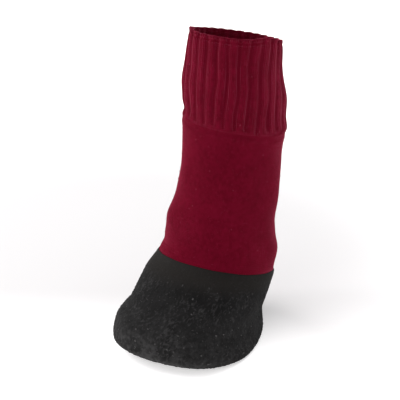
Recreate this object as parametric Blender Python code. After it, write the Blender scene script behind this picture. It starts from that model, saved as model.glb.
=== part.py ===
"""Dog sock: a knitted tube with a ribbed cuff, its foot dipped in rubber.

Two bodies are made, the knit and the rubber, each a hollow shell lofted through the same
sections of the foot and leg. X runs across the foot, the toe points to -Y and Z is up.
Lengths are in millimetres until the meshes are made.
"""

import math
from collections import namedtuple

import bmesh
import bpy
from mathutils import Vector

MM = 0.001

# Driving dimensions
FOOT_LENGTH = 116  # toe to heel, outside
BALL_WIDTH = 74  # across the ball of the foot, outside
RIM = (48, 29)  # heights of the rubber's rim, over the instep and behind the heel
CUFF = (128, 116)  # heights of the cuff's lower edge, front and back
COLLAR = (176, 162.5)  # heights of the open collar, front and back
TILT = (0, 2.2, 2.0, 0)  # how much higher the floor, rim, cuff and collar lie at -X
LIFTS = ((75, 24, 2.4), (-62, 18, 1.0))  # where the collar rises: degrees round, spread, rise
RUBBER_WALL = 1.2
RUBBER_SOLE = 1.6
RUBBER_EDGE = 0.7  # the dip runs out thin at its rim
KNIT_FOOT = 1.4  # wall of the plain knit inside the rubber
KNIT_LEG = 1.7
KNIT_CUFF = 2.1
RIB_COUNT = 27  # round the cuff
RIB_RELIEF = 0.75
GAP = 0.3  # between the rubber and the knit inside it

# How finely the walls are divided
RIB_COLUMNS = 4
CUFF_COLUMNS = RIB_COUNT * RIB_COLUMNS
BODY_COLUMNS = CUFF_COLUMNS // 2
FOOT_LEVELS = (0, 0.03, 0.08, 0.16, 0.26, 0.38, 0.5, 0.62, 0.74, 0.85, 0.94, 1)
TAPER_LEVEL = 0.7  # from here up the dip thins towards its rim

# Sections, from the floor up.
# level: 0 the floor, 1 the rubber's rim, 2 the cuff's lower edge, 3 the collar.
# front, back: reach from the leg's middle line, in percent of FOOT_LENGTH.
# width: percent of BALL_WIDTH at the section's middle. splay: how much wider its front is.
# square: 2 is an ellipse, more is squarer. lean: sideways shift, to the sock's right.
Section = namedtuple("Section", "level front back width splay square lean")
SECTIONS = [
    Section(0.00, 49.5, 20.5, 90, 0.17, 2.3, 0.1),
    Section(0.07, 57.2, 23.5, 95, 0.22, 2.3, -0.1),
    Section(0.22, 64.7, 27.5, 95.5, 0.24, 2.3, -1.0),
    Section(0.45, 61.7, 31.5, 92.2, 0.22, 2.3, -2.5),
    Section(0.70, 46.5, 34.8, 88.7, 0.14, 2.2, -2.2),
    Section(0.87, 35.5, 35.9, 90, 0.10, 2.1, -2.7),
    Section(1.00, 26.0, 35.2, 88.2, 0.05, 2.0, -2.7),
    Section(1.11, 22.5, 33.0, 86, 0.00, 2.0, -1.6),
    Section(1.26, 22.0, 32.0, 82.3, 0.00, 2.0, -0.4),
    Section(1.46, 18.5, 32.3, 76.6, 0.00, 2.0, 1.6),
    Section(1.68, 17.0, 33.2, 74.2, 0.00, 2.0, 2.9),
    Section(1.90, 17.0, 35.0, 75.2, 0.00, 2.0, 3.3),
    Section(2.00, 17.0, 36.5, 77, 0.00, 2.0, 3.4),
    Section(2.36, 14.5, 37.5, 76.4, 0.00, 2.0, 1.9),
    Section(2.68, 11.0, 38.5, 72.7, 0.00, 2.0, 0.1),
    Section(3.00, 6.0, 40.0, 70.7, 0.00, 2.0, -1.2),
]


def between(level, marks):
    """Value at a level, straight between those at the floor, rim, cuff and collar."""
    below = min(int(level), len(marks) - 2)
    return marks[below] + (level - below) * (marks[below + 1] - marks[below])


def heights(level):
    """Heights of a section's front and back."""
    return [between(level, marks) for marks in zip((0, 0), RIM, CUFF, COLLAR)]


def slope(near, here, far):
    """Gradient of a smooth line through three (place, value) points that never overshoots."""
    first = (here[1] - near[1]) / (here[0] - near[0])
    second = (far[1] - here[1]) / (far[0] - here[0])
    return 2 * first * second / (first + second) if first * second > 0 else 0.0


def smooth(points, place):
    """Value at a place on the smooth line through points, each a (place, value) pair."""
    last = len(points) - 2
    index = next((i for i in range(last) if place < points[i + 1][0]), last)
    low, high = points[index], points[index + 1]
    step = high[0] - low[0]
    mean = (high[1] - low[1]) / step
    start = slope(points[index - 1], low, high) if index > 0 else mean
    end = slope(low, high, points[index + 2]) if index < last else mean
    t = (place - low[0]) / step
    return (
        low[1] * (1 + 2 * t) * (1 - t) ** 2
        + high[1] * t * t * (3 - 2 * t)
        + step * t * (1 - t) * (start * (1 - t) - end * t)
    )


def section_at(level):
    """The section at any level, each column smooth in the height of the front."""
    place = heights(level)[0]
    columns = [
        smooth([(heights(row.level)[0], getattr(row, name)) for row in SECTIONS], place)
        for name in Section._fields[1:]
    ]
    return Section(level, *columns)


def lift(level, turn):
    """How much the skin rises towards the collar's lifts."""
    total = 0.0
    for middle, spread, rise in LIFTS:
        off = (math.degrees(turn) - middle + 180) % 360 - 180
        total += rise * math.exp(-((off / spread) ** 2))
    return total * max(0.0, level - 2) ** 2


def outline(section, turn):
    """Point of a section's outline. Turn 0 is the toe side, a quarter turn is +X."""
    cosine, sine = math.cos(turn), math.sin(turn)
    along = math.copysign(abs(cosine) ** (2 / section.square), cosine)
    across = math.copysign(abs(sine) ** (2 / section.square), sine)
    front, back = (reach / 100 * FOOT_LENGTH for reach in (section.front, section.back))
    half_width = section.width / 100 * BALL_WIDTH / 2
    high, low = heights(section.level)
    height = (high + low) / 2 + (high - low) / 2 * along - between(section.level, TILT) * across
    return Vector(
        (
            section.lean + half_width * across * (1 + section.splay * along),
            (back - front) / 2 - (front + back) / 2 * along,
            height + lift(section.level, turn),
        )
    )


def ease(low, high, value):
    """Soft step from 0 at low to 1 at high."""
    t = min(max((value - low) / (high - low), 0), 1)
    return t * t * (3 - 2 * t)


def sway(level, turn):
    """How far the ribs run sideways: they fan out at the collar and twist at the cuff's foot."""
    fan = 0.11 * math.sin(turn - 0.58) * ease(2.5, 3.05, level)
    foot = ease(2.65, 2.05, level) * ease(1.1, 1.8, level)
    return fan - (0.06 + 0.07 * math.sin(turn - 0.35)) * foot


def ring(level, columns, depth, floor=0.0, relief=None):
    """Points round the wall at one level, sunk under the outer skin by depth.

    No point goes below floor. relief gives the extra depth of each column in turn.
    """
    reach = 0.004
    below = section_at(max(level - reach, 0))
    above = section_at(min(level + reach, 3))
    here = section_at(level)
    points = []
    for column in range(columns):
        turn = math.tau * column / columns
        turn += sway(level, turn)
        point = outline(here, turn)
        around = outline(here, turn + reach) - outline(here, turn - reach)
        upward = outline(above, turn) - outline(below, turn)
        inward = upward.cross(around).normalized()
        sunk = depth + (relief[column % len(relief)] if relief else 0)
        point += inward * sunk
        point.z = max(point.z, floor)
        points.append(point)
    return points


def span(start, end, count):
    """Levels from start to end, both ends in."""
    return [start + (end - start) * step / (count - 1) for step in range(count)]


def rubber_depth(level):
    """Thickness of the dip at a level: full in the foot, thin at the rim."""
    thinned = max(0.0, (level - TAPER_LEVEL) / (1 - TAPER_LEVEL))
    return RUBBER_WALL + (RUBBER_EDGE - RUBBER_WALL) * thinned


def rubber_rings():
    """Rings of the rubber: up its outside, over its rim and down its inside."""
    outside = [ring(level, BODY_COLUMNS, 0) for level in FOOT_LEVELS]
    inside = [
        ring(level, BODY_COLUMNS, rubber_depth(level), RUBBER_SOLE)
        for level in reversed(FOOT_LEVELS)
    ]
    return outside + inside


def knit_rings():
    """Rings of the knit: up its outside, over the collar and down its inside."""
    shelf = 1 + GAP / (CUFF[0] - RIM[0])  # the leg's knit overhangs the rubber's rim here
    shelf_depth = RUBBER_EDGE + GAP
    leg_levels = span(1.04, 1.9, 10)
    cuff_levels = span(2.02, 2.96, 8)
    ribs = tuple(RIB_RELIEF * share for share in (0.5, 0, 0.5, 1))
    even_ribs = tuple(share * 0.5 for share in ribs)

    outside = [
        ring(level, BODY_COLUMNS, rubber_depth(level) + GAP, RUBBER_SOLE + GAP)
        for level in FOOT_LEVELS
    ]
    outside += [ring(shelf, BODY_COLUMNS, shelf_depth), ring(shelf, BODY_COLUMNS, 0)]
    outside += [ring(level, BODY_COLUMNS, 0) for level in leg_levels]
    outside += [ring(1.97, BODY_COLUMNS, 0)]
    outside += [ring(level, CUFF_COLUMNS, 0, relief=ribs) for level in cuff_levels]

    collar = [
        ring(3, CUFF_COLUMNS, KNIT_CUFF * share, relief=even_ribs) for share in (0.25, 0.75)
    ]

    inside = [ring(level, CUFF_COLUMNS, KNIT_CUFF, relief=ribs) for level in cuff_levels[::-1]]
    inside += [ring(1.97, BODY_COLUMNS, KNIT_LEG)]
    inside += [ring(level, BODY_COLUMNS, KNIT_LEG) for level in leg_levels[::-1]]
    inside += [
        ring(
            level,
            BODY_COLUMNS,
            rubber_depth(level) + GAP + KNIT_FOOT,
            RUBBER_SOLE + GAP + KNIT_FOOT,
        )
        for level in reversed(FOOT_LEVELS)
    ]
    return outside + collar + inside


def bridge(form, lower, upper):
    """Faces between two rings of one count, or of which one has twice the other's."""
    count = min(len(lower), len(upper))
    low_step, high_step = len(lower) // count, len(upper) // count
    for i in range(count):
        low = [lower[(i * low_step + k) % len(lower)] for k in range(low_step + 1)]
        high = [upper[(i * high_step + k) % len(upper)] for k in range(high_step + 1)]
        if low_step == high_step:
            form.faces.new((low[0], low[1], high[1], high[0]))
        elif high_step == 2:
            form.faces.new((low[0], high[1], high[0]))
            form.faces.new((low[0], low[1], high[1]))
            form.faces.new((low[1], high[2], high[1]))
        else:
            form.faces.new((low[0], low[1], high[0]))
            form.faces.new((low[1], high[1], high[0]))
            form.faces.new((low[1], low[2], high[1]))


def shell(name, rings, material):
    """One closed wall through rings that run up its outside and down its inside."""
    form = bmesh.new()
    loops = [[form.verts.new(point * MM) for point in points] for points in rings]
    for lower, upper in zip(loops, loops[1:]):
        bridge(form, lower, upper)
    form.faces.new(loops[0][::-1])
    form.faces.new(loops[-1])
    mesh = bpy.data.meshes.new(name)
    form.to_mesh(mesh)
    form.free()
    mesh.materials.append(material)
    mesh.shade_smooth()
    mesh.set_sharp_from_angle(angle=math.radians(40))
    piece = bpy.data.objects.new(name, mesh)
    bpy.context.scene.collection.objects.link(piece)
    return piece


def finish(name, colour, roughness):
    """A plain non-metal finish."""
    material = bpy.data.materials.new(name)
    material.use_nodes = True
    surface = material.node_tree.nodes["Principled BSDF"]
    surface.inputs["Base Color"].default_value = (*colour, 1)
    surface.inputs["Roughness"].default_value = roughness
    surface.inputs["Metallic"].default_value = 0
    return material


def stand_over_origin(pieces):
    """Places the pieces together, so that their box is centred over the origin."""
    corners = [vertex.co for piece in pieces for vertex in piece.data.vertices]
    for axis in (0, 1):
        values = [corner[axis] for corner in corners]
        middle = (min(values) + max(values)) / 2
        for piece in pieces:
            piece.location[axis] = -middle


def main():
    for old in list(bpy.data.objects):
        bpy.data.objects.remove(old)
    burgundy_knit = finish("burgundy_knit", (0.115, 0.006, 0.016), 0.9)
    black_rubber = finish("black_rubber", (0.018, 0.017, 0.017), 0.6)
    sock = shell("knit_sock", knit_rings(), burgundy_knit)
    foot = shell("rubber_foot", rubber_rings(), black_rubber)
    stand_over_origin([sock, foot])


main()
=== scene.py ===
"""Looks of a dog sock: a ribbed and plain knit tube whose foot is dipped in rubber.

The knit is a wall with every stitch laid on it as yarn, and the dip is a crinkled shell.
Both follow the same sections of foot and leg as the solids they stand for. Lengths are in
millimetres until a mesh is made. X runs across the foot, the toe points to -Y, Z is up.
Turns go from the toe towards +X, in radians, and in degrees in the two tables of places.
"""

import math
from collections import namedtuple

import bpy
import numpy as np
from mathutils import Euler, Matrix, Vector


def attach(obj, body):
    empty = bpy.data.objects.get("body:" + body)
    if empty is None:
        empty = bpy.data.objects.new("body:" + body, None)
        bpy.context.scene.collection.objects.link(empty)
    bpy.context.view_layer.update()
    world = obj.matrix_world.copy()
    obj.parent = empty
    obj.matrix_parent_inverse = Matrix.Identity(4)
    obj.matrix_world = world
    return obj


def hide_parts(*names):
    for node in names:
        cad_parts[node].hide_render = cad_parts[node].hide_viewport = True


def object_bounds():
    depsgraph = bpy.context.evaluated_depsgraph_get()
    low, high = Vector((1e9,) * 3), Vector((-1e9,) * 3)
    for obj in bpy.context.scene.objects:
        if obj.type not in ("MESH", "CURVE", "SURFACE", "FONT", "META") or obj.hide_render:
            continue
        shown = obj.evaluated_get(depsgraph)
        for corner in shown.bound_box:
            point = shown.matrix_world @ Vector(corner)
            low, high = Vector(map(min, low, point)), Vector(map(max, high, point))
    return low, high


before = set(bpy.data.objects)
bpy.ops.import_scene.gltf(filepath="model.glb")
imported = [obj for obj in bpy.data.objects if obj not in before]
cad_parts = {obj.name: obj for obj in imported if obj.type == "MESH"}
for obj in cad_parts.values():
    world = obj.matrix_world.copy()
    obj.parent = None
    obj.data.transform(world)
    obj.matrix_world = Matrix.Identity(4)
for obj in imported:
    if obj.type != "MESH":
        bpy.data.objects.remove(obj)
cad_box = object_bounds()

MM = 0.001

# Driving dimensions, as in the frame
FOOT_LENGTH = 116
BALL_WIDTH = 74
RIM = (48, 29)  # rubber's rim, front and back
CUFF = (128, 116)  # cuff's lower edge, front and back
COLLAR = (176, 162.5)  # open collar, front and back
TILT = (0, 2.2, 2.0, 0)  # how much higher the floor, rim, cuff and collar lie at -X
RUBBER_WALL = 1.2
RUBBER_SOLE = 1.6
RUBBER_EDGE = 0.7
GAP = 0.3
KNIT_FOOT = 1.4
KNIT_LEG = 1.7
KNIT_CUFF = 2.1
RIB_COUNT = 27
RIB_RELIEF = 0.8

# The knit's gauge
RIB_WALES = 5  # columns of stitches in a rib: three stand proud and two are sunk
PROUD_WALES = 3
WALES = RIB_COUNT * RIB_WALES
COURSE = 1.1  # height of one row of stitches
YARN_DEPTH = 0.3  # the yarn's middle lies this far under the skin
GROUND_DEPTH = 0.24  # and the fabric that backs it lies here
LINING_END = 2.22  # stitches are laid inside the cuff down to this level, fading out
SCALLOP = 0.3  # how far a rib's crest rises over its valleys at the collar

# What is strewn on it. A shape is its width, length and height in shares of its size.
SEED = 7
FIBRE_COUNT = 3200
PILL_COUNT = 90
PILL_SHAPE = np.array([1.0, 1.3, 0.6])
CRUMB_COUNT = 1100  # before those that don't hold are left out
CRUMB_SHAPE = np.array([1.0, 1.6, 0.5])

# The dip's surface
DIP_COLUMNS = 540
SMOOTH_BAND = (3.5, 10.0)  # the crinkle starts and is full this far under the rim
RIM_WAVE = 0.4  # how far the rim rises and falls

# Where the collar's edge stands higher: turn and spread in degrees, and mm
LIFTS = ((75, 24, 2.4), (-62, 18, 1.0))

# Sections of the sock. level: 0 at the floor, 1 at the rubber's rim, 2 at the cuff's lower
# edge and 3 at the collar, and between them by height. front and back: reach towards toe and
# heel, in hundredths of FOOT_LENGTH. width: in hundredths of BALL_WIDTH. splay: how much wider
# the toe's half is than the heel's. square: power of the superellipse, 2 when round.
# lean: mm towards +X.
Section = namedtuple("Section", "level front back width splay square lean")
SECTIONS = [
    Section(0.00, 49.5, 20.5, 90, 0.17, 2.3, 0.1),
    Section(0.07, 57.2, 23.5, 95, 0.22, 2.3, -0.1),
    Section(0.22, 64.7, 27.5, 95.5, 0.24, 2.3, -1.0),
    Section(0.45, 61.7, 31.5, 92.2, 0.22, 2.3, -2.5),
    Section(0.70, 46.5, 34.8, 88.7, 0.14, 2.2, -2.2),
    Section(0.87, 35.5, 35.9, 90, 0.10, 2.1, -2.7),
    Section(1.00, 26.0, 35.2, 88.2, 0.05, 2.0, -2.7),
    Section(1.11, 22.5, 33.0, 86, 0.00, 2.0, -1.6),
    Section(1.26, 22.0, 32.0, 82.3, 0.00, 2.0, -0.4),
    Section(1.46, 18.5, 32.3, 76.6, 0.00, 2.0, 1.6),
    Section(1.68, 17.0, 33.2, 74.2, 0.00, 2.0, 2.9),
    Section(1.90, 17.0, 35.0, 75.2, 0.00, 2.0, 3.3),
    Section(2.00, 17.0, 36.5, 77, 0.00, 2.0, 3.4),
    Section(2.36, 14.5, 37.5, 76.4, 0.00, 2.0, 1.9),
    Section(2.68, 11.0, 38.5, 72.7, 0.00, 2.0, 0.1),
    Section(3.00, 6.0, 40.0, 70.7, 0.00, 2.0, -1.2),
]

# Creases. level and turn: the middle, turn in degrees from the toe towards +X.
# high: spread up and down, mm. wide: spread round the leg, degrees. rise: mm out, or in if
# negative. slant: levels that the crease climbs for each 90 degrees of turn.
ALL_ROUND = 500
Crease = namedtuple("Crease", "level turn high wide rise slant")
CREASES = [
    Crease(2.955, 0, 0.9, ALL_ROUND, -0.3, 0.0),  # groove under the cast-off edge
    Crease(2.42, -60, 9, 45, 0.9, 0.0),  # the cuff's soft belly
    Crease(2.09, -62, 3.5, 40, -1.0, 0.03),  # pinch over the cuff's lower edge
    Crease(1.97, -62, 3, 50, 0.4, 0.0),
    Crease(2.03, 118, 4.5, 60, 0.9, -0.03),  # the cuff hangs over the leg
    Crease(2.35, 115, 9, 50, 0.9, 0.0),
    Crease(2.78, 112, 7, 50, -0.1, 0.0),
    Crease(1.975, 0, 1.7, ALL_ROUND, -0.5, 0.0),  # the leg is drawn in under the cuff
    Crease(1.84, 118, 6, 60, -0.3, 0.0),
    Crease(1.62, -60, 14, 45, 0.5, 0.0),  # the calf's soft side
    Crease(1.40, 119, 7, 60, -0.8, 0.0),  # narrowing over the ankle
    Crease(1.17, 119, 6, 60, 0.9, 0.0),
    Crease(1.27, -58, 6, 45, 0.8, -0.06),  # fold pushed up over the instep
    Crease(1.07, -58, 3, 45, -0.7, -0.02),
    Crease(1.06, 182, 3.0, 55, -1.6, 0.0),  # fold behind the ankle
    Crease(1.19, 180, 5.0, 60, 1.2, 0.02),
    Crease(1.34, 176, 3.5, 45, -0.9, -0.03),
    Crease(1.015, 0, 2.0, ALL_ROUND, -0.4, 0.0),  # the rubber's rim stands proud of the knit
    Crease(0.58, -54, 3.2, 34, -1.5, -0.10),  # where the toes begin
    Crease(0.33, 116, 6.0, 45, -0.8, 0.02),
    Crease(0.10, 74, 6.0, 34, 0.9, 0.0),  # the sole's edge rolls out under the ball
]


def heights(level):
    """Heights of a section's front and back, straight between the driving ones."""
    marks = [0, 1, 2, 3]
    return [np.interp(level, marks, row) for row in zip((0, 0), RIM, CUFF, COLLAR)]


def slope(near, here, far):
    """Gradient of a smooth line through three (place, value) points that never overshoots."""
    first = (here[1] - near[1]) / (here[0] - near[0])
    second = (far[1] - here[1]) / (far[0] - here[0])
    return 2 * first * second / (first + second) if first * second > 0 else 0.0


def smooth(points, place):
    """Value at a place on the smooth line through points, each a (place, value) pair."""
    last = len(points) - 2
    index = next((i for i in range(last) if place < points[i + 1][0]), last)
    low, high = points[index], points[index + 1]
    step = high[0] - low[0]
    mean = (high[1] - low[1]) / step
    start = slope(points[index - 1], low, high) if index > 0 else mean
    end = slope(low, high, points[index + 2]) if index < last else mean
    t = (place - low[0]) / step
    return (
        low[1] * (1 + 2 * t) * (1 - t) ** 2
        + high[1] * t * t * (3 - 2 * t)
        + step * t * (1 - t) * (start * (1 - t) - end * t)
    )


def section_lines():
    """Each column of the sections, drawn as a fine smooth line over the levels."""
    marks = np.linspace(0, 3, 901)
    lines = {"level": marks}
    for name in Section._fields[1:]:
        points = [(heights(row.level)[0], getattr(row, name)) for row in SECTIONS]
        lines[name] = np.array([smooth(points, heights(mark)[0]) for mark in marks])
    return lines


LINES = section_lines()


def lift(level, turn):
    """How much higher the skin lies towards the collar, mm."""
    total = 0.0
    for middle, spread, rise in LIFTS:
        off = (np.degrees(turn) - middle + 180) % 360 - 180
        total = total + rise * np.exp(-((off / spread) ** 2))
    return total * np.clip(level - 2, 0, 1) ** 2


def outline(level, turn):
    """Points of the smooth outer skin, for arrays of levels and turns."""
    at = {name: np.interp(level, LINES["level"], LINES[name]) for name in Section._fields[1:]}
    cosine, sine = np.cos(turn), np.sin(turn)
    along = np.sign(cosine) * np.abs(cosine) ** (2 / at["square"])
    across = np.sign(sine) * np.abs(sine) ** (2 / at["square"])
    front, back = (at[name] / 100 * FOOT_LENGTH for name in ("front", "back"))
    half_width = at["width"] / 100 * BALL_WIDTH / 2
    high, low = heights(level)
    tilt = np.interp(level, [0, 1, 2, 3], TILT)
    return np.stack(
        [
            at["lean"] + half_width * across * (1 + at["splay"] * along),
            (back - front) / 2 - (front + back) / 2 * along,
            (high + low) / 2 + (high - low) / 2 * along - tilt * across + lift(level, turn),
        ],
        axis=-1,
    )


def unit(vectors):
    return vectors / np.linalg.norm(vectors, axis=-1, keepdims=True)


def outward(level, turn, reach=0.004):
    """Unit normals of the smooth skin."""
    around = outline(level, turn + reach) - outline(level, turn - reach)
    upward = outline(np.minimum(level + reach, 3), turn) - outline(np.maximum(level - reach, 0), turn)
    return unit(np.cross(around, upward))


def ease(low, high, value):
    """Soft step from 0 at low to 1 at high."""
    t = np.clip((value - low) / (high - low), 0, 1)
    return t * t * (3 - 2 * t)


def creases(level, turn):
    """How far the listed creases push the skin out, mm."""
    total = np.zeros(np.broadcast(level, turn).shape)
    for crease in CREASES:
        off = (np.degrees(turn) - crease.turn + 180) % 360 - 180
        zone = min(int(crease.level), 2)
        tall = [RIM[0], CUFF[0] - RIM[0], COLLAR[0] - CUFF[0]][zone]
        climb = (level - crease.level - crease.slant * off / 90) * tall
        total += crease.rise * np.exp(-((climb / crease.high) ** 2) - (off / crease.wide) ** 2)
    return total


def unevenness(level, turn):
    """The slow wander of cloth that has been worn, mm."""
    return (
        0.16 * np.sin(3 * turn + 5.1 * level)
        + 0.13 * np.sin(5 * turn - 9.7 * level + 1.3)
        + 0.10 * np.sin(8 * turn + 14.3 * level + 2.1)
    )


def sway(level, turn):
    """How far the wales wander sideways, in radians.

    They fan out from the shin's side towards the collar, twist a little at the foot of the
    cuff and straighten again down the leg.
    """
    fan = 0.11 * np.sin(turn - 0.58) * ease(2.5, 3.05, level)
    twist = -(0.06 + 0.07 * np.sin(turn - 0.35)) * ease(2.65, 2.05, level) * ease(1.1, 1.8, level)
    wander = 0.011 * np.sin(4 * turn + 7.3 * level) + 0.005 * np.sin(9 * turn - 15 * level + 0.7)
    return fan + twist + wander


def cuff_edge(turn):
    """Level at which each rib begins, not quite the same for all."""
    return 2.0 + 0.010 * np.sin(4 * turn + 1) + 0.012 * np.sin(11 * turn)


def rib_valley(turn):
    """0 along a rib's crest and 1 in the valley between two, softly rounded."""
    crest = (PROUD_WALES - 1) / 2
    wave = 0.5 - 0.5 * np.cos((turn * WALES / math.tau - crest) / RIB_WALES * math.tau)
    return wave**1.25


def rib_sink(level, turn):
    """How far the ribs sink the skin, mm."""
    share = ease(-0.02, 0.08, level - cuff_edge(turn))
    uneven = 1 + 0.2 * np.sin(3 * turn + 5 * level) + 0.16 * np.sin(10 * turn - 9 * level + 1)
    return RIB_RELIEF * uneven * rib_valley(turn) * share


def cloth(level, turn, depth):
    """Points of the knit, mm, sunk under its outer skin by depth."""
    swayed = turn + sway(level, turn)
    push = creases(level, swayed) + unevenness(level, swayed) - rib_sink(level, turn) - depth
    points = outline(level, swayed) + outward(level, swayed) * push[..., None]
    points[..., 2] += SCALLOP * (0.5 - rib_valley(turn)) * ease(2.9, 3, level)
    return points


def dip(level, turn, depth):
    """Points of the rubber, mm, sunk under its outer skin by depth."""
    push = creases(level, turn) + unevenness(level, turn) - depth
    return outline(level, turn) + outward(level, turn) * push[..., None]


def dip_depth(level):
    """Thickness of the dip: full in the foot and thin at its rim."""
    return np.interp(level, [0, 0.7, 1], [RUBBER_WALL, RUBBER_WALL, RUBBER_EDGE])


def under_rim(level, turn):
    """Distance down from the rubber's rim, mm."""
    return (1 - level) * (sum(RIM) / 2 + (RIM[0] - RIM[1]) / 2 * np.cos(turn))


def stand_shift():
    """What moves the sections to where the frame stands."""
    level, turn = np.meshgrid(np.linspace(0, 3, 301), np.linspace(0, math.tau, 361))
    points = outline(level, turn).reshape(-1, 3)
    middle = (points.min(0) + points.max(0)) / 2
    frame_middle = (np.array(cad_box[0]) + np.array(cad_box[1])) / 2 / MM
    return np.array([frame_middle[0] - middle[0], frame_middle[1] - middle[1], 0])


SHIFT = stand_shift()


# Meshes


def link(name, mesh):
    piece = bpy.data.objects.new(name, mesh)
    bpy.context.scene.collection.objects.link(piece)
    return piece


def loft(name, rows, values=None, courses=None):
    """One closed skin through rows of points, each a ring, with a pole at either end.

    values are attributes on the points. With courses, a number for each row, the skin gets
    a UV map that counts wales and courses.
    """
    rows = np.asarray(rows) + SHIFT
    count, columns = rows.shape[:2]
    poles = [rows[0].mean(0), rows[-1].mean(0)]
    vertices = np.concatenate([rows.reshape(-1, 3), poles]) * MM
    row, column = np.meshgrid(np.arange(count - 1), np.arange(columns), indexing="ij")
    after = (column + 1) % columns
    quads = np.stack(
        [row * columns + column, row * columns + after, (row + 1) * columns + after,
         (row + 1) * columns + column], axis=-1,
    ).reshape(-1, 4)
    here = np.arange(columns)
    first, last = count * columns, count * columns + 1
    bottom = [(first, (i + 1) % columns, i) for i in here]
    top = [(last, (count - 1) * columns + i, (count - 1) * columns + (i + 1) % columns) for i in here]
    mesh = bpy.data.meshes.new(name)
    mesh.from_pydata(vertices.tolist(), [], quads.tolist() + bottom + top)
    mesh.update()
    for label, grid in (values or {}).items():
        layer = mesh.attributes.new(label, "FLOAT", "POINT")
        ends = [grid[0].mean(), grid[-1].mean()]
        layer.data.foreach_set("value", np.concatenate([np.asarray(grid).ravel(), ends]))
    if courses is not None:
        sides = (column + np.array([0, 1, 1, 0])[:, None, None]) * WALES / columns
        ups = np.asarray(courses)[row + np.array([0, 0, 1, 1])[:, None, None]]
        places = np.stack([sides, ups], axis=-1).transpose(1, 2, 0, 3).reshape(-1, 2)
        ends = np.zeros((6 * columns, 2))
        layer = mesh.uv_layers.new(name="stitches")
        layer.uv.foreach_set("vector", np.concatenate([places, ends]).astype(np.float32).ravel())
    mesh.shade_smooth()
    return link(name, mesh)


def ring_turns(columns):
    return np.arange(columns) / columns * math.tau


def point_mesh(name, places, vectors, shade):
    """Loose points, each with its outward and upward directions, its size and its shade."""
    mesh = bpy.data.meshes.new(name)
    mesh.from_pydata(((places + SHIFT) * MM).tolist(), [], [])
    for label, values in vectors.items():
        layer = mesh.attributes.new(label, "FLOAT_VECTOR", "POINT")
        layer.data.foreach_set("vector", values.reshape(-1))
    layer = mesh.attributes.new("shade", "FLOAT", "POINT")
    layer.data.foreach_set("value", shade.astype(np.float32))
    return link(name, mesh)


# Node trees


def node(tree, kind, settings=None, inputs=None):
    """Adds a node. Its inputs, by name or number, are constants or other nodes' sockets."""
    made = tree.nodes.new(kind)
    for key, value in (settings or {}).items():
        setattr(made, key, value)
    for key, value in (inputs or {}).items():
        socket = made.inputs[key]
        if isinstance(value, bpy.types.NodeSocket):
            tree.links.new(value, socket)
        else:
            socket.default_value = value
    return made


def calculate(tree, operation, *values):
    """Output of a Math node."""
    return node(tree, "ShaderNodeMath", {"operation": operation}, dict(enumerate(values))).outputs[0]


def geometry_tree(name, inputs):
    """A Geometry Nodes tree with named inputs, and its Group Input node."""
    tree = bpy.data.node_groups.new(name, "GeometryNodeTree")
    sockets = tree.interface
    sockets.new_socket("Geometry", in_out="INPUT", socket_type="NodeSocketGeometry")
    for label, kind in inputs:
        sockets.new_socket(label, in_out="INPUT", socket_type="NodeSocket" + kind)
    sockets.new_socket("Geometry", in_out="OUTPUT", socket_type="NodeSocketGeometry")
    return tree, tree.nodes.new("NodeGroupInput")


def end_tree(tree, geometry, material):
    """Ends a tree in Realize Instances and Set Material."""
    real = node(tree, "GeometryNodeRealizeInstances", None, {"Geometry": geometry})
    dressed = node(
        tree, "GeometryNodeSetMaterial", None, {"Geometry": real.outputs[0], "Material": material}
    )
    node(tree, "NodeGroupOutput", None, {"Geometry": dressed.outputs[0]})


def apply_tree(piece, tree, values):
    """Runs a tree on a piece and keeps the result as its plain mesh."""
    modifier = piece.modifiers.new(tree.name, "NODES")
    modifier.node_group = tree
    for item in tree.interface.items_tree:
        if item.in_out == "INPUT" and item.name in values:
            modifier[item.identifier] = values[item.name]
    bpy.context.view_layer.update()
    graph = bpy.context.evaluated_depsgraph_get()
    result = bpy.data.meshes.new_from_object(piece.evaluated_get(graph), depsgraph=graph)
    piece.modifiers.remove(modifier)
    before = piece.data
    piece.data = result
    bpy.data.meshes.remove(before)
    for label in ("outward", "upward", "stretch"):
        if label in result.attributes:
            result.attributes.remove(result.attributes[label])
    result.shade_smooth()
    return piece


def attribute(tree, name, kind):
    return node(
        tree, "GeometryNodeInputNamedAttribute", {"data_type": kind}, {"Name": name}
    ).outputs["Attribute"]


def place_on_points(tree, points, shape, material):
    """Stands a shape on every point, turned and stretched by the point's attributes."""
    facing = node(
        tree, "FunctionNodeAxesToRotation", {"primary_axis": "Z", "secondary_axis": "Y"},
        {0: attribute(tree, "outward", "FLOAT_VECTOR"), 1: attribute(tree, "upward", "FLOAT_VECTOR")},
    ).outputs[0]
    laid = node(
        tree, "GeometryNodeInstanceOnPoints", None,
        {"Points": points, "Instance": shape, "Rotation": facing,
         "Scale": attribute(tree, "stretch", "FLOAT_VECTOR")},
    ).outputs[0]
    end_tree(tree, laid, material)


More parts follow.
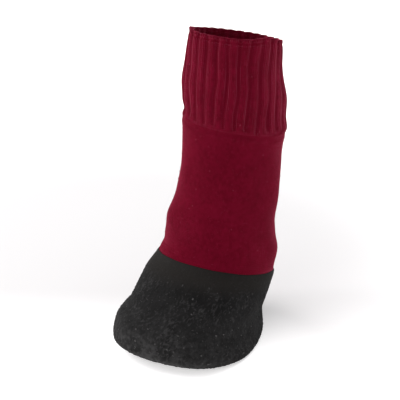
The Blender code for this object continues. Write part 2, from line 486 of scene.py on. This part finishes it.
def yarn_tree():
    """Lays an arc of yarn on every point, or a mirrored pair of arcs, as a stitch."""
    tree, given = geometry_tree(
        "yarn_on_points",
        [("Start", "Vector"), ("Middle", "Vector"), ("End", "Vector"), ("Thickness", "Float"),
         ("Thin End", "Float"), ("Steps", "Int"), ("Sides", "Int"), ("Pair", "Bool"),
         ("Material", "Material")],
    )
    give = given.outputs
    line = node(
        tree, "GeometryNodeCurveQuadraticBezier", None,
        {"Resolution": 12, "Start": give["Start"], "Middle": give["Middle"], "End": give["End"]},
    ).outputs[0]
    arc = node(
        tree, "GeometryNodeResampleCurve", None,
        {"Curve": line, "Count": calculate(tree, "ADD", give["Steps"], 1.0)},
    ).outputs[0]
    mirrored = node(
        tree, "GeometryNodeTransform", None, {"Geometry": arc, "Scale": (-1, 1, 1)}
    ).outputs[0]
    pair = node(tree, "GeometryNodeSwitch", {"input_type": "GEOMETRY"},
                {"Switch": give["Pair"], "True": mirrored}).outputs[0]
    both = tree.nodes.new("GeometryNodeJoinGeometry")
    tree.links.new(arc, both.inputs[0])
    tree.links.new(pair, both.inputs[0])
    along = tree.nodes.new("GeometryNodeSplineParameter").outputs["Factor"]
    swell = calculate(tree, "SINE", calculate(tree, "MULTIPLY", along, math.pi))
    radius = node(
        tree, "ShaderNodeMapRange", None,
        {"Value": swell, "From Min": 0.0, "From Max": 1.0, "To Min": give["Thin End"], "To Max": 1.0},
    ).outputs[0]
    shaped = node(
        tree, "GeometryNodeSetCurveRadius", None, {"Curve": both.outputs[0], "Radius": radius}
    ).outputs[0]
    upright = node(
        tree, "GeometryNodeSetCurveNormal", {"mode": "Z_UP"}, {"Curve": shaped}
    ).outputs[0]
    round_section = node(
        tree, "GeometryNodeCurvePrimitiveCircle", None,
        {"Resolution": give["Sides"], "Radius": calculate(tree, "MULTIPLY", give["Thickness"], 0.5)},
    ).outputs[0]
    ridge_out = node(
        tree, "GeometryNodeTransform", None,
        {"Geometry": round_section, "Rotation": Euler((0, 0, -math.pi / 2))},
    ).outputs[0]
    strand = node(
        tree, "GeometryNodeCurveToMesh", None,
        {"Curve": upright, "Profile Curve": ridge_out, "Fill Caps": True},
    ).outputs[0]
    place_on_points(tree, give["Geometry"], strand, give["Material"])
    return tree


def grain_tree():
    """Sets a small rounded grain on every point."""
    tree, given = geometry_tree("grains_on_points", [("Material", "Material")])
    grain = node(
        tree, "GeometryNodeMeshIcoSphere", None, {"Radius": 0.5, "Subdivisions": 1}
    ).outputs[0]
    place_on_points(tree, given.outputs["Geometry"], grain, given.outputs["Material"])
    return tree


def crinkle_tree():
    """Raises fine worm-like folds on a skin, as far as its give attribute lets it."""
    tree, given = geometry_tree(
        "crinkled_rubber",
        [("Fold Size", "Float"), ("Fold Width", "Float"), ("Fold Depth", "Float"),
         ("Grain Size", "Float"), ("Grain Depth", "Float"), ("Material", "Material")],
    )
    give = given.outputs
    place = tree.nodes.new("GeometryNodeInputPosition").outputs[0]
    normal = tree.nodes.new("GeometryNodeInputNormal").outputs[0]

    def noise(size, detail, distortion):
        scale = calculate(tree, "DIVIDE", 1.0, size)
        return node(
            tree, "ShaderNodeTexNoise", None,
            {"Vector": place, "Scale": scale, "Detail": detail, "Distortion": distortion},
        ).outputs["Fac"]

    off = calculate(tree, "ABSOLUTE", calculate(tree, "SUBTRACT", noise(give["Fold Size"], 1.0, 0.5), 0.5))
    fold = node(
        tree, "ShaderNodeMapRange", {"interpolation_type": "SMOOTHSTEP"},
        {"Value": off, "From Min": 0.0, "From Max": give["Fold Width"], "To Min": 1.0, "To Max": 0.0},
    ).outputs[0]
    grain = calculate(tree, "SUBTRACT", noise(give["Grain Size"], 2.0, 0.0), 0.5)
    height = calculate(
        tree, "ADD",
        calculate(tree, "MULTIPLY", calculate(tree, "SUBTRACT", fold, 0.5), give["Fold Depth"]),
        calculate(tree, "MULTIPLY", grain, give["Grain Depth"]),
    )
    pushed = calculate(tree, "MULTIPLY", height, attribute(tree, "give", "FLOAT"))
    offset = node(
        tree, "ShaderNodeVectorMath", {"operation": "SCALE"}, {0: normal, "Scale": pushed}
    ).outputs[0]
    kept = node(
        tree, "GeometryNodeStoreNamedAttribute", {"data_type": "FLOAT", "domain": "POINT"},
        {"Geometry": give["Geometry"], "Name": "crinkle", "Value": fold},
    ).outputs[0]
    moved = node(
        tree, "GeometryNodeSetPosition", None, {"Geometry": kept, "Offset": offset}
    ).outputs[0]
    # What would pass under the floor is pressed flat on it.
    parts = node(tree, "ShaderNodeSeparateXYZ", None, {0: place})
    above = calculate(tree, "MAXIMUM", parts.outputs["Z"], 0.0)
    lifted = node(
        tree, "ShaderNodeCombineXYZ", None,
        {"X": parts.outputs["X"], "Y": parts.outputs["Y"], "Z": above},
    ).outputs[0]
    pressed = node(
        tree, "GeometryNodeSetPosition", None, {"Geometry": moved, "Position": lifted}
    ).outputs[0]
    end_tree(tree, pressed, give["Material"])
    return tree


# Finishes. Colours are linear, a darker and a lighter one where there are two.

YARN_COLOURS = ((0.103, 0.0019, 0.0094), (0.165, 0.0037, 0.0188))
GROUND_COLOURS = ((0.104, 0.0019, 0.0095), (0.144, 0.0028, 0.0153))
LINT_COLOURS = ((0.17, 0.010, 0.028), (0.27, 0.045, 0.070))
BLOOM_TINT = (1.0, 0.22, 0.36, 1)
RUBBER_COLOURS = ((0.0068, 0.0066, 0.0066), (0.0098, 0.0094, 0.0095))
RIM_COLOUR = (0.0128, 0.0115, 0.0106)
WORN_COLOUR = (0.027, 0.026, 0.0265)
SPECK_COLOUR = (0.038, 0.0365, 0.037)
# Dust and painted light low on the toe, paler on the side that faces the key light
DUST_AND_LIGHT_COLOUR = (0.039, 0.038, 0.0384)
KEY_LIT_SIDE = (-0.87, -0.49, 0)
CRUMB_COLOURS = ((0.012, 0.0115, 0.0115), (0.062, 0.059, 0.060))


def shader_tree(name):
    material = bpy.data.materials.new(name)
    material.use_nodes = True
    tree = material.node_tree
    return material, tree, tree.nodes["Principled BSDF"]


def blend_colours(tree, share, first, second):
    """Output of a Mix node between two colours or colour sockets."""
    mix = node(tree, "ShaderNodeMix", {"data_type": "RGBA"}, {0: share})
    for socket, value in ((mix.inputs[6], first), (mix.inputs[7], second)):
        if isinstance(value, bpy.types.NodeSocket):
            tree.links.new(value, socket)
        else:
            socket.default_value = (*value, 1)
    return mix.outputs[2]


def noise_value(tree, where, size, detail=2.0, distortion=0.0):
    """A noise whose grains are about size across, in mm."""
    return node(
        tree, "ShaderNodeTexNoise", None,
        {"Vector": where, "Scale": 1 / (size * MM), "Detail": detail, "Distortion": distortion},
    ).outputs["Fac"]


def remap(tree, value, low, high, to_low=0.0, to_high=1.0):
    return node(
        tree, "ShaderNodeMapRange", {"interpolation_type": "SMOOTHSTEP"},
        {"Value": value, "From Min": low, "From Max": high, "To Min": to_low, "To Max": to_high},
    ).outputs[0]


def shader_attribute(tree, name):
    return node(
        tree, "ShaderNodeAttribute", {"attribute_name": name, "attribute_type": "GEOMETRY"}
    ).outputs["Fac"]


def bump(tree, height, strength, distance):
    """Output of a Bump node, distance in mm."""
    return node(
        tree, "ShaderNodeBump", None,
        {"Strength": strength, "Distance": distance * MM, "Height": height},
    ).outputs[0]


def woolly(surface, sheen):
    """Matt, with a bloom of fine fibres that catches the light at the edges."""
    constants = {
        "Roughness": 1.0, "Diffuse Roughness": 1.0, "Specular IOR Level": 0.02,
        "Sheen Weight": sheen, "Sheen Roughness": 0.35, "Sheen Tint": BLOOM_TINT,
    }
    for label, value in constants.items():
        surface.inputs[label].default_value = value


def burgundy_yarn():
    """Burgundy yarn, a little uneven in its dye."""
    material, tree, surface = shader_tree("burgundy_yarn")
    place = tree.nodes.new("ShaderNodeTexCoord").outputs["Object"]
    dye = noise_value(tree, place, size=14, detail=3)
    heather = noise_value(tree, place, size=2.6, detail=2)
    fibres = noise_value(tree, place, size=0.3, detail=3)
    shade = shader_attribute(tree, "shade")
    mixed = calculate(tree, "MULTIPLY_ADD", shade, 0.3, calculate(tree, "MULTIPLY", dye, 0.5))
    mixed = calculate(tree, "MULTIPLY_ADD", fibres, 0.3, mixed)
    mixed = calculate(tree, "MULTIPLY_ADD", heather, 0.65, mixed)
    colour = blend_colours(tree, remap(tree, mixed, 0.53, 1.22), *YARN_COLOURS)
    tree.links.new(colour, surface.inputs["Base Color"])
    tree.links.new(bump(tree, fibres, strength=0.4, distance=0.1), surface.inputs["Normal"])
    woolly(surface, sheen=0.45)
    return material


def burgundy_ground():
    """The fabric under and behind the stitches, with their pattern as a low relief."""
    material, tree, surface = shader_tree("burgundy_ground")
    coordinates = tree.nodes.new("ShaderNodeTexCoord")
    counts = node(tree, "ShaderNodeSeparateXYZ", None, {0: coordinates.outputs["UV"]})
    in_wale = calculate(tree, "FRACT", counts.outputs["X"])
    aside = calculate(tree, "ABSOLUTE", calculate(tree, "SUBTRACT", in_wale, 0.5))
    slanted = calculate(tree, "MULTIPLY_ADD", aside, 1.3, counts.outputs["Y"])
    loops = calculate(tree, "SINE", calculate(tree, "MULTIPLY", slanted, math.tau))
    columns = calculate(tree, "COSINE", calculate(tree, "MULTIPLY", counts.outputs["X"], math.tau))
    relief = calculate(tree, "MULTIPLY_ADD", columns, 0.5, loops)
    dye = noise_value(tree, coordinates.outputs["Object"], size=14, detail=3)
    fibres = noise_value(tree, coordinates.outputs["Object"], size=0.3, detail=3)
    mixed = calculate(tree, "MULTIPLY_ADD", fibres, 0.5, calculate(tree, "MULTIPLY", dye, 0.6))
    mixed = calculate(tree, "MULTIPLY_ADD", relief, 0.12, mixed)
    colour = blend_colours(tree, remap(tree, mixed, 0.25, 0.85), *GROUND_COLOURS)
    tree.links.new(colour, surface.inputs["Base Color"])
    raised = calculate(tree, "MULTIPLY_ADD", fibres, 0.6, relief)
    tree.links.new(bump(tree, raised, strength=0.4, distance=0.12), surface.inputs["Normal"])
    woolly(surface, sheen=0.40)
    return material


def pale_lint():
    """Felted fibre, paler than the yarn it came from."""
    material, tree, surface = shader_tree("pale_lint")
    colour = blend_colours(tree, shader_attribute(tree, "shade"), *LINT_COLOURS)
    tree.links.new(colour, surface.inputs["Base Color"])
    woolly(surface, sheen=0.3)
    return material


def black_dip():
    """Matt black rubber, worn paler on its folds and speckled, with a smooth browner rim.

    Dust and painted light make it paler low down, in mottled patches: painted light most on the side that
    faces the key light and nearest the floor.
    """
    material, tree, surface = shader_tree("black_dip")
    place = tree.nodes.new("ShaderNodeTexCoord").outputs["Object"]
    cloud = noise_value(tree, place, size=9, detail=3)
    patches = noise_value(tree, place, size=16, detail=2)
    grain = noise_value(tree, place, size=0.5, detail=3)
    speck = noise_value(tree, place, size=1.2, detail=2)
    mottle = noise_value(tree, place, size=2.2, detail=2)
    give = shader_attribute(tree, "give")
    folds = calculate(tree, "MULTIPLY", shader_attribute(tree, "crinkle"), give)
    base = blend_colours(tree, remap(tree, cloud, 0.3, 0.7), *RUBBER_COLOURS)
    rimmed = blend_colours(tree, shader_attribute(tree, "band"), base, RIM_COLOUR)
    worn = calculate(tree, "MULTIPLY", remap(tree, patches, 0.40, 0.62, 0.10, 0.95), folds)
    faded = blend_colours(tree, worn, rimmed, WORN_COLOUR)
    specks = calculate(tree, "MULTIPLY", remap(tree, speck, 0.62, 0.76), give)
    speckled = blend_colours(tree, specks, faded, SPECK_COLOUR)
    # Dust and painted light: paler low down, in mottled patches, and most on the side that faces the key
    # light
    height = node(tree, "ShaderNodeSeparateXYZ", None, {0: place}).outputs["Z"]
    to_side = node(
        tree, "ShaderNodeVectorMath", {"operation": "DOT_PRODUCT"}, {0: place, 1: KEY_LIT_SIDE}
    ).outputs["Value"]
    key_lit_share = remap(tree, to_side, -0.03, 0.03, 0.2, 1)
    uneven = calculate(tree, "MULTIPLY", remap(tree, cloud, 0.3, 0.6, 0.3, 1), key_lit_share)
    uneven = calculate(tree, "MULTIPLY", uneven, remap(tree, mottle, 0.38, 0.62, 0.35, 1))
    dust_and_light = calculate(tree, "MULTIPLY", remap(tree, height, 0.004, 0.034, 1, 0), uneven)
    colour = blend_colours(tree, dust_and_light, speckled, DUST_AND_LIGHT_COLOUR)
    tree.links.new(colour, surface.inputs["Base Color"])
    tree.links.new(remap(tree, grain, 0.3, 0.7, 0.6, 0.85), surface.inputs["Roughness"])
    tree.links.new(bump(tree, grain, strength=0.5, distance=0.12), surface.inputs["Normal"])
    surface.inputs["Specular IOR Level"].default_value = 0.04
    return material


def grey_grain():
    """Crumbs of rubber worn pale."""
    material, tree, surface = shader_tree("grey_grain")
    colour = blend_colours(tree, shader_attribute(tree, "shade"), *CRUMB_COLOURS)
    tree.links.new(colour, surface.inputs["Base Color"])
    surface.inputs["Roughness"].default_value = 0.8
    surface.inputs["Specular IOR Level"].default_value = 0.15
    return material


# Pieces


def knit_wall(material):
    """The fabric under the stitches: foot in its dip, leg, cuff, collar and down inside."""
    turns = ring_turns(2 * WALES)
    rows, courses = [], []

    def add(levels, depths, floor=0.0):
        depths = np.broadcast_to(depths, np.shape(levels))
        for level, depth in zip(levels, depths):
            points = cloth(np.full_like(turns, level), turns, depth)
            points[:, 2] = np.maximum(points[:, 2], floor)
            rows.append(points)
            courses.append(heights(level)[0] / COURSE)

    foot = np.linspace(0, 1, 12)
    hidden = dip_depth(foot) + GAP
    add(foot, hidden, RUBBER_SOLE + GAP)  # the foot, inside the dip
    add(np.linspace(1.006, 1.97, 54), GROUND_DEPTH)  # the leg
    add(np.linspace(1.98, 2.985, 50), GROUND_DEPTH)  # the cuff
    add([3.0, 3.0], [0.35 * KNIT_CUFF, 0.65 * KNIT_CUFF])  # the collar's rounded edge
    add(np.linspace(2.985, 1.99, 34), KNIT_CUFF - GROUND_DEPTH)  # and down inside
    add(np.linspace(1.97, 1.02, 34), KNIT_LEG)
    add(foot[::-1], (hidden + KNIT_FOOT)[::-1], RUBBER_SOLE + GAP + KNIT_FOOT)
    wall = loft("knit_wall", rows, courses=courses)
    wall.data.materials.append(material)
    return wall


# A stitch: x in shares of its wale, y of its course, and z of Proud, which is in mm.
# Thickness goes with them. The last entry is painted shade: it takes away from the stitch's shade value,
# so the purl stitches sunk in the ribs' valleys come out darker.
LEG_STITCH = {
    "Start": (0.08, -0.74, -0.06), "Middle": (0.44, -0.10, 0.12), "End": (0.32, 0.84, -0.12),
    "Thickness": 0.66, "Thin End": 0.7, "Steps": 2, "Sides": 3, "Pair": True,
    "Proud": 0.6, "Dark": 0.0,
}
CUFF_STITCH = {**LEG_STITCH, "Sides": 4, "Proud": 0.7}
# Purl bumps lie sunk in the ribs' valleys, and their colour is made darker there as painted shade
PURL_BUMP = {
    "Start": (-0.60, -0.12, -0.16), "Middle": (0.0, 0.22, 0.30), "End": (0.60, -0.12, -0.16),
    "Thickness": 0.72, "Thin End": 0.6, "Steps": 3, "Sides": 4, "Pair": False,
    "Proud": 0.7, "Dark": 0.8,
}
# A link of the chain along the collar: x in shares of the wall's thickness, y of a wale, z in mm
CHAIN_LINK = {
    "Start": (0.06, -0.70, -0.10), "Middle": (0.46, -0.10, 0.14), "End": (0.26, 0.80, -0.14),
    "Thickness": 0.5, "Thin End": 0.7, "Steps": 3, "Sides": 5, "Pair": True,
}
# A loose fibre, in shares of its length
FIBRE = {
    "Start": (0.0, 0.0, -0.08), "Middle": (0.10, 0.45, 0.42), "End": (-0.05, 0.85, 0.30),
    "Thickness": 0.034, "Thin End": 0.5, "Steps": 2, "Sides": 3, "Pair": False,
}


def courses_between(low, high):
    """Middle levels of the courses between two levels."""
    count = round((heights(high)[0] - heights(low)[0]) / COURSE)
    return low + (np.arange(count) + 0.5) * (high - low) / count


def skin_directions(level, turn, depth):
    """Places, outward and upward unit vectors, and mm for each radian round and level up."""
    reach = 0.003
    places = cloth(level, turn, depth)
    up = cloth(np.minimum(level + reach, 3), turn, depth) - cloth(level - reach, turn, depth)
    around = cloth(level, turn + reach, depth) - cloth(level, turn - reach, depth)
    sizes = [np.linalg.norm(step, axis=-1) / (2 * reach) for step in (around, up)]
    up = unit(up)
    return places, unit(np.cross(around, up)), up, sizes


def stitches(name, tree, style, material, level, turn, depth, inside=False, share=1.0):
    """Lays one stitch at every place of the arrays level and turn. share makes them lower."""
    style = dict(style)
    proud, painted_shade = style.pop("Proud") * share, style.pop("Dark")
    places, out, up, sizes = skin_directions(level, turn, np.full_like(level, depth))
    wide = sizes[0] * math.tau / WALES
    stretch = np.stack([wide, np.full_like(wide, COURSE), np.full_like(wide, proud)], axis=-1) * MM
    # Painted shade: the given amount darkens the stitch's colour
    shade = np.random.default_rng(SEED).random(len(level)) - painted_shade
    vectors = {"outward": -out if inside else out, "upward": up, "stretch": stretch}
    piece = point_mesh(name, places, vectors, shade)
    return apply_tree(piece, tree, {**style, "Material": material})


def knit_stitches(tree, yarn):
    """Every stitch of the leg and cuff, by the part of the sock and the kind of stitch."""
    leg_courses = courses_between(1.006, 1.985)
    cuff_courses = courses_between(1.985, 2.985)
    wales = np.arange(WALES)
    sunk = wales % RIB_WALES >= PROUD_WALES
    level, wale = (grid.ravel() for grid in np.meshgrid(leg_courses, wales, indexing="ij"))
    turn = wale * math.tau / WALES
    third = len(level) // 3  # the leg is three pieces, so that none has too many triangles
    pieces = [
        stitches(name, tree, LEG_STITCH, yarn, level[part], turn[part], YARN_DEPTH)
        for name, part in (
            ("ankle_stitches", slice(0, third)),
            ("shin_stitches", slice(third, 2 * third)),
            ("leg_stitches", slice(2 * third, None)),
        )
    ]
    level, wale = (grid.ravel() for grid in np.meshgrid(cuff_courses, wales, indexing="ij"))
    turn = wale * math.tau / WALES
    purl = sunk[wale] & (level > cuff_edge(turn) + 0.01)
    pieces += [
        stitches("cuff_knit_stitches", tree, CUFF_STITCH, yarn, level[~purl], turn[~purl], YARN_DEPTH),
        stitches("cuff_purl_stitches", tree, PURL_BUMP, yarn, level[purl], turn[purl], YARN_DEPTH),
    ]
    seen = level > LINING_END
    back = KNIT_CUFF - YARN_DEPTH
    for name, style, here in (
        ("lining_purl_stitches", PURL_BUMP, seen & ~purl),
        ("lining_knit_stitches", LEG_STITCH, seen & purl),
    ):
        share = 0.1 + 0.9 * ease(LINING_END, LINING_END + 0.3, level[here])
        pieces.append(
            stitches(name, tree, style, yarn, level[here], turn[here], back, inside=True, share=share)
        )
    return pieces


def cast_off(tree, yarn):
    """The chain of yarn that closes the knit, laid along the collar's edge."""
    turn = ring_turns(WALES)
    level = np.full_like(turn, 3.0)
    places, out, up, sizes = skin_directions(level, turn, np.full_like(turn, KNIT_CUFF / 2))
    wale = sizes[0] * math.tau / WALES
    stretch = np.stack([np.full_like(wale, KNIT_CUFF), wale, np.ones_like(wale)], axis=-1) * MM
    vectors = {"outward": up, "upward": np.cross(up, out), "stretch": stretch}
    piece = point_mesh("collar_edge", places, vectors, np.random.default_rng(SEED).random(WALES))
    return apply_tree(piece, tree, {**CHAIN_LINK, "Material": yarn})


def fuzz(tree, yarn):
    """Loose fibres that stand off the knit all over."""
    count = FIBRE_COUNT
    rng = np.random.default_rng(SEED + 1)
    level = rng.uniform(1.02, 2.98, count)
    turn = rng.uniform(0, math.tau, count)
    places, out, up, _ = skin_directions(level, turn, np.full(count, YARN_DEPTH - 0.12))
    side = np.cross(up, out)
    angle = rng.uniform(0, math.tau, count)[:, None]
    lean = rng.uniform(-0.5, 0.4, count)[:, None]
    along = up * np.cos(angle) + side * np.sin(angle)
    length = rng.uniform(0.7, 1.9, count)[:, None] * np.ones(3)
    vectors = {"outward": unit(out + along * lean), "upward": along, "stretch": length * MM}
    piece = point_mesh("fuzz", places, vectors, rng.uniform(0.5, 0.99, count))
    return apply_tree(piece, tree, {**FIBRE, "Material": yarn})


def pills(tree, lint):
    """A few small balls of felted fibre, paler than the yarn."""
    count = PILL_COUNT
    rng = np.random.default_rng(SEED + 3)
    level = rng.uniform(1.05, 2.95, count)
    turn = rng.uniform(0, math.tau, count)
    places, out, up, _ = skin_directions(level, turn, np.full(count, 0.05))
    size = rng.uniform(0.3, 0.75, (count, 1))
    stretch = size * PILL_SHAPE * MM
    vectors = {"outward": out, "upward": up, "stretch": stretch}
    piece = point_mesh("pills", places, vectors, rng.random(count))
    return apply_tree(piece, tree, {"Material": lint})


def rubber_shell(material):
    """The dip: a flat crinkled sole, sides that follow the foot, a thin rim and its inside."""
    turns = ring_turns(DIP_COLUMNS)
    rows, give, band = [], [], []

    def add(points, level, gives):
        rows.append(points)
        smooth_rim = 1 - ease(*SMOOTH_BAND, under_rim(level, turns))
        give.append(gives * (1 - 0.8 * smooth_rim) * np.ones_like(turns))
        band.append(smooth_rim)

    # The sole from its middle out, the sides, the rim's edge, and down the inside.
    sole = dip(np.zeros_like(turns), turns, 0)
    sole[:, 2] = 0
    centre = sole.mean(0)
    for share in np.linspace(0.03, 0.985, 36):
        add(centre + (sole - centre) * share, 0, 0.5)
    wave = RIM_WAVE * (0.5 + 0.3 * np.sin(4 * turns + 1.0) + 0.2 * np.sin(11 * turns))
    for level in np.concatenate([np.linspace(0, 0.1, 12)[:-1], np.linspace(0.1, 1, 96)]):
        points = dip(np.full_like(turns, level), turns, 0)
        points[:, 2] = np.maximum(points[:, 2], 0) + wave * ease(0.9, 1, level)
        add(points, level, (0.5 + 0.5 * ease(0.0, 0.1, level)) * (1 - ease(0.985, 1.0, level)))
    edge = dip(np.full_like(turns, 1.003), turns, 0.25)
    edge[:, 2] += wave
    add(edge, 1, 0)
    for level in np.linspace(1, 0, 12):
        points = dip(np.full_like(turns, level), turns, dip_depth(level))
        points[:, 2] = np.maximum(points[:, 2], RUBBER_SOLE)
        add(points, level, 0)
    shell = loft("rubber_dip", rows, {"give": np.array(give), "band": np.array(band)})
    return apply_tree(shell, crinkle_tree(), {
        "Fold Size": 3.4 * MM, "Fold Width": 0.045, "Fold Depth": 0.30 * MM,
        "Grain Size": 1.0 * MM, "Grain Depth": 0.3 * MM, "Material": material,
    })


def rubber_grains(tree, material):
    """Small pale crumbs on the dip, most of them low on the toe."""
    count = CRUMB_COUNT
    rng = np.random.default_rng(SEED + 2)
    level = rng.uniform(0.03, 0.95, count)
    turn = rng.uniform(0, math.tau, count)
    likely = ease(*SMOOTH_BAND, under_rim(level, turn)) * (0.25 + 0.75 * np.exp(-2 * level))
    likely *= 0.45 + 0.55 * (0.5 + 0.5 * np.cos(turn + 0.5))
    kept = rng.random(count) < likely
    level, turn = level[kept], turn[kept]
    places = dip(level, turn, 0.03)
    clear = places[:, 2] >= 0.4  # stands clear of the floor
    places, level, turn = places[clear], level[clear], turn[clear]
    around = outline(level, turn + 0.01) - outline(level, turn)
    spin = rng.uniform(0, math.tau, len(level))[:, None]
    out = outward(level, turn)
    across = unit(around)
    tangent = across * np.cos(spin) + np.cross(out, across) * np.sin(spin)
    size = rng.uniform(0.45, 1.05, (len(level), 1)) ** 1.5
    stretch = size * CRUMB_SHAPE * MM
    vectors = {"outward": out, "upward": tangent, "stretch": stretch}
    piece = point_mesh("rubber_grains", places, vectors, rng.random(len(level)) ** 2)
    return apply_tree(piece, tree, {"Material": material})


# Studio. Lengths are in metres from here on, save where MM or a comment says so.

FLOOR_REACH = 60.0
FLOOR_COLOURS = ((0.80, 0.79, 0.795), (0.84, 0.83, 0.835))
FLOOR_FRONT = (0.49, -0.87, 0)  # the way that the floor's front lies
FLOOR_GLOW = (0.50, 0.66)  # behind and before the sock
GLOW_COLOUR = (1, 0.99, 0.99, 1)
# Painted shadow: a greyer patch on the floor behind the sock, where the floor also glows less
PAINTED_SHADOW_COLOUR = (0.58, 0.57, 0.575)
PAINTED_SHADOW_MIDDLE = (-0.10, 0.09, 0)
PAINTED_SHADOW_REACH = (0.10, 0.32)  # full and gone this far from its middle
PAINTED_SHADOW_DIMS = 0.43  # painted shadow: what it takes from the floor's glow
ROOM_LIGHT = 0.68
LENS = 201.25  # mm, on a sensor 36 mm wide
SENSOR = 36
CAMERA_ROLL = math.radians(0.65)


def studio_floor():
    """A pale floor with a painted shadow, a greyer patch behind the sock where it glows less. It glows,
    more before the sock, which keeps real shadows faint.
    """
    material, tree, surface = shader_tree("pale_floor")
    place = tree.nodes.new("ShaderNodeTexCoord").outputs["Object"]
    forward = node(
        tree, "ShaderNodeVectorMath", {"operation": "DOT_PRODUCT"}, {0: place, 1: FLOOR_FRONT}
    ).outputs["Value"]
    away = node(
        tree, "ShaderNodeVectorMath", {"operation": "DISTANCE"}, {0: place, 1: PAINTED_SHADOW_MIDDLE}
    ).outputs["Value"]
    # Painted shadow: the floor is greyer and glows less in a patch behind the sock
    behind = remap(tree, forward, -0.06, 0.05, 1, 0)
    painted_shadow = calculate(tree, "MULTIPLY", remap(tree, away, *PAINTED_SHADOW_REACH, 1, 0), behind)
    cloud = node(tree, "ShaderNodeTexNoise", None, {"Vector": place, "Scale": 3.0}).outputs["Fac"]
    tone = blend_colours(tree, cloud, *FLOOR_COLOURS)
    colour = blend_colours(tree, painted_shadow, tone, PAINTED_SHADOW_COLOUR)
    tree.links.new(colour, surface.inputs["Base Color"])
    glow = remap(tree, forward, 0.0, 0.09, *FLOOR_GLOW)
    dimmed = calculate(tree, "MULTIPLY_ADD", painted_shadow, -PAINTED_SHADOW_DIMS, glow)
    tree.links.new(dimmed, surface.inputs["Emission Strength"])
    surface.inputs["Roughness"].default_value = 0.9
    surface.inputs["Specular IOR Level"].default_value = 0.1
    surface.inputs["Emission Color"].default_value = GLOW_COLOUR
    mesh = bpy.data.meshes.new("floor")
    corners = [(x * FLOOR_REACH, y * FLOOR_REACH, 0) for x, y in ((-1, -1), (1, -1), (1, 1), (-1, 1))]
    mesh.from_pydata(corners, [], [(0, 1, 2, 3)])
    mesh.materials.append(material)
    link("floor", mesh)


def aim(thing, place, target, roll=0.0):
    """Stands a camera or light at a place, looking at a target and rolled by radians."""
    turned = (Vector(target) - Vector(place)).to_track_quat("-Z", "Y").to_matrix().to_4x4()
    thing.matrix_world = Matrix.Translation(place) @ turned @ Matrix.Rotation(roll, 4, "Z")


SOCK_MIDDLE = (Vector(cad_box[0]) + Vector(cad_box[1])) / 2


def around_sock(azimuth, elevation, distance):
    """A place round the sock's middle. Azimuth 0 is in front of the toe, 90 is at +X."""
    turn, rise = math.radians(azimuth), math.radians(elevation)
    flat = distance * math.cos(rise)
    offset = (flat * math.sin(turn), -flat * math.cos(turn), distance * math.sin(rise))
    return SOCK_MIDDLE + Vector(offset)


def softbox(name, azimuth, elevation, distance, size, power, target=SOCK_MIDDLE, spread=180):
    """A square soft light that looks at a target, its light held within spread degrees."""
    lamp = bpy.data.lights.new(name, "AREA")
    lamp.size = size
    lamp.energy = power
    lamp.spread = math.radians(spread)
    piece = bpy.data.objects.new(name, lamp)
    bpy.context.scene.collection.objects.link(piece)
    aim(piece, around_sock(azimuth, elevation, distance), target)


def studio():
    studio_floor()
    scene = bpy.context.scene
    scene.view_settings.view_transform = "Standard"
    world = bpy.data.worlds.new("studio")
    world.use_nodes = True
    background = world.node_tree.nodes["Background"]
    background.inputs["Color"].default_value = (1, 1, 1, 1)
    background.inputs["Strength"].default_value = ROOM_LIGHT
    scene.world = world
    softbox("key_softbox", azimuth=-76, elevation=34, distance=1.6, size=1.5, power=32)
    softbox("fill_softbox", azimuth=10, elevation=50, distance=1.8, size=1.6, power=5)
    softbox("rim_softbox", azimuth=160, elevation=44, distance=1.5, size=0.9, power=8)
    softbox(
        "cuff_softbox", azimuth=158, elevation=26, distance=0.8, size=0.1, power=0.03,
        target=SOCK_MIDDLE + Vector((0, 26, 66)) * MM, spread=8,
    )
    lens = bpy.data.cameras.new("camera")
    lens.lens = LENS
    lens.sensor_width = SENSOR
    camera = bpy.data.objects.new("camera", lens)
    scene.collection.objects.link(camera)
    looked_at = SOCK_MIDDLE + Vector((-2.0, -1.0, -6.0)) * MM
    aim(camera, around_sock(azimuth=29.45, elevation=21.92, distance=1.246), looked_at, CAMERA_ROLL)
    scene.camera = camera


def dress():
    yarn = burgundy_yarn()
    laid_yarn, set_grains = yarn_tree(), grain_tree()
    wall = knit_wall(burgundy_ground())
    knit = [
        wall, *knit_stitches(laid_yarn, yarn), cast_off(laid_yarn, yarn),
        fuzz(laid_yarn, yarn), pills(set_grains, pale_lint()),
    ]
    dip_skin = rubber_shell(black_dip())
    rubber = [dip_skin, rubber_grains(set_grains, grey_grain())]
    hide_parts("knit_sock")
    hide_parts("rubber_foot")
    for slot, pieces in (("knit", knit), ("rubber", rubber)):
        for piece in pieces:
            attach(piece, "root")


dress()
studio()
